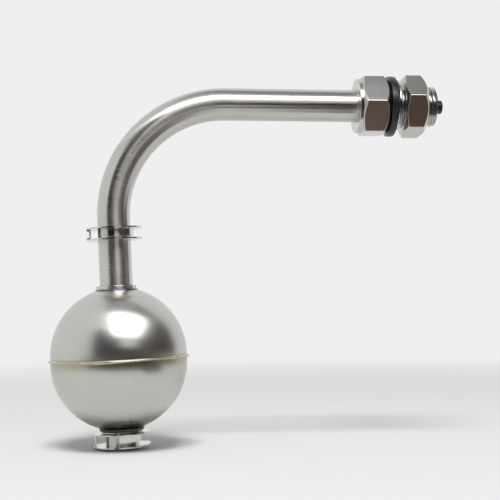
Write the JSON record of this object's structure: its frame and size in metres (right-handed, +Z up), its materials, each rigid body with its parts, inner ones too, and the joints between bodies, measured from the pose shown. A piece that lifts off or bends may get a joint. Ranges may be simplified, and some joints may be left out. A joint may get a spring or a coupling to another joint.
{
  "type": "float level switch",
  "caption": "Side-mounted float level switch: bent stainless stem, hexagonal threaded mounting head with gasket and lock nut, and a ball float that slides between two stop clips.",
  "frame": {"origin": "centre of the gasket's sealing face, on the thread axis, where the inside of the tank wall lies", "axes": "+X along the thread, out through the tank wall; +Z up, away from the float; the bent stem lies in the XZ plane"},
  "size_m": [0.1556, 0.054, 0.1452],
  "materials": {
    "stem_steel": "satin, ground along its length",
    "ball_steel": "satin, turned and blasted",
    "turned_steel": "machined, fine tool marks",
    "washer_steel": "bright rolled sheet",
    "clip_steel": "bright spring sheet with polished edges",
    "weld_steel": "weld bead, wavy",
    "tinted_weld": "weld bead with a purple and straw heat tint",
    "black_rubber": "semi-gloss",
    "resin": "cast resin",
    "red_insulation": "silicone insulation",
    "black_insulation": "silicone insulation",
    "reed_glass": "clear, green-tinted",
    "reed_wire": "bright",
    "board": "matte",
    "jacket": "matte",
    "magnet": "matte ferrite"
  },
  "bodies": {
    "stem_and_head": {"stem_tube": "stem_steel", "stem_end_plug": "stem_steel", "stem_weld": "weld_steel", "mounting_body": "turned_steel", "gasket": "black_rubber", "lead_grommet": "black_rubber", "potting_seal": "resin", "red_lead": "red_insulation", "black_lead": "black_insulation", "reed_glass": "reed_glass", "reed_wires": "reed_wire", "reed_board": "board", "solder_sleeves": "black_insulation", "reed_jacket": "jacket", "foot_resin": "resin", "upper_stop_clip": "clip_steel", "lower_stop_clip": "clip_steel"},
    "float_magnet": {"ring_magnet": "magnet", "magnet_retainers": "clip_steel"},
    "float": {"float_upper_shell": "ball_steel", "float_lower_shell": "ball_steel", "float_seam_weld": "weld_steel", "float_guide_tube": "stem_steel", "upper_collar_weld": "tinted_weld", "lower_collar_weld": "tinted_weld"},
    "nut_washer": {"flat_washer": "washer_steel"},
    "nut": {"lock_nut": "turned_steel"}
  },
  "joints": [
    {"name": "float_slide", "type": "slide", "parent": "stem_and_head", "child": "float_magnet", "axis": [-0.0401, 0, 0.9992], "range_m": [0, 0.0174]},
    {"name": "float_spin", "type": "hinge", "parent": "float_magnet", "child": "float", "pos_m": [-0.1086, 0, -0.0991], "axis": [-0.0401, 0, 0.9992], "continuous": true},
    {"name": "nut_travel", "type": "slide", "parent": "stem_and_head", "child": "nut_washer", "axis": [1, 0, 0], "range_m": [0, 0.00826]},
    {"name": "nut_turn", "type": "hinge", "parent": "nut_washer", "child": "nut", "pos_m": [0.0078, 0, 0], "axis": [1, 0, 0], "range_deg": [0, 1980]}
  ],
  "couplings": [
    {"joint": "nut_travel", "follows": "nut_turn", "m_per_rad": 0.00023873}
  ]
}
